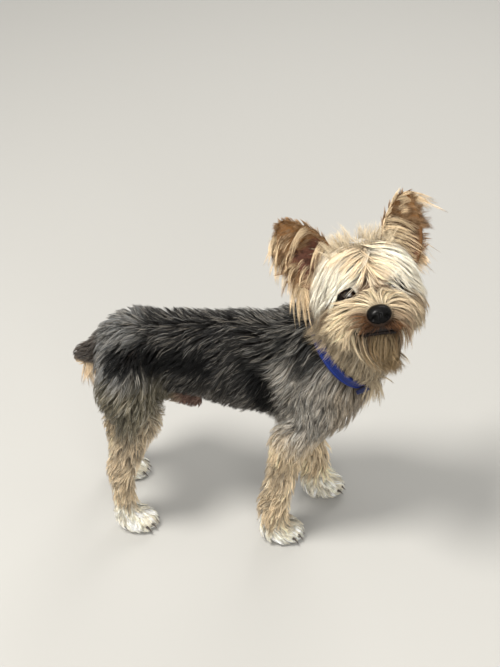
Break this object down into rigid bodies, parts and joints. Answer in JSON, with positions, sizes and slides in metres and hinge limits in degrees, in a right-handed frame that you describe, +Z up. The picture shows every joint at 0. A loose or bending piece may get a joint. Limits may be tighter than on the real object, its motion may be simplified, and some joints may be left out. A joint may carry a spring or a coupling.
{
  "type": "yorkshire terrier",
  "caption": "Small long-haired dog standing on four legs, head turned to its side, ears upright, wearing a plain band collar.",
  "frame": {"origin": "on the floor, at the middle of the box round the whole dog", "axes": "+Z up; +X towards the chest, the way the body faces; +Y to the dog's left"},
  "size_m": [0.3014, 0.1456, 0.3349],
  "materials": {
    "head_coat": "soft pale gold and tan hair",
    "neck_coat": "silver grey hair",
    "body_coat": "steel grey hair, black saddle",
    "tail_coat": "short dark grey hair",
    "leg_coat": "cream and tan hair",
    "ear": "tan hair over pink skin",
    "eye": "wet, dark",
    "nose": "moist black skin",
    "claw": "dark horn",
    "collar": "woven nylon band",
    "buckle": "moulded"
  },
  "bodies": {
    "root": {"claw_fore_left_1": "claw", "claw_fore_left_2": "claw", "claw_fore_left_3": "claw", "claw_fore_left_4": "claw", "claw_fore_right_1": "claw", "claw_fore_right_2": "claw", "claw_fore_right_3": "claw", "claw_fore_right_4": "claw", "claw_hind_left_1": "claw", "claw_hind_left_2": "claw", "claw_hind_left_3": "claw", "claw_hind_left_4": "claw", "claw_hind_right_1": "claw", "claw_hind_right_2": "claw", "claw_hind_right_3": "claw", "claw_hind_right_4": "claw", "collar": "collar", "collar_buckle": "buckle", "ear_left": "ear", "ear_right": "ear", "eye_left": "eye", "eye_right": "eye", "foreleg_left": "leg_coat", "foreleg_right": "leg_coat", "head": "head_coat", "hind_leg_left": "leg_coat", "hind_leg_right": "leg_coat", "neck": "neck_coat", "nose": "nose", "tail": "tail_coat", "torso": "body_coat"}
  },
  "joints": []
}
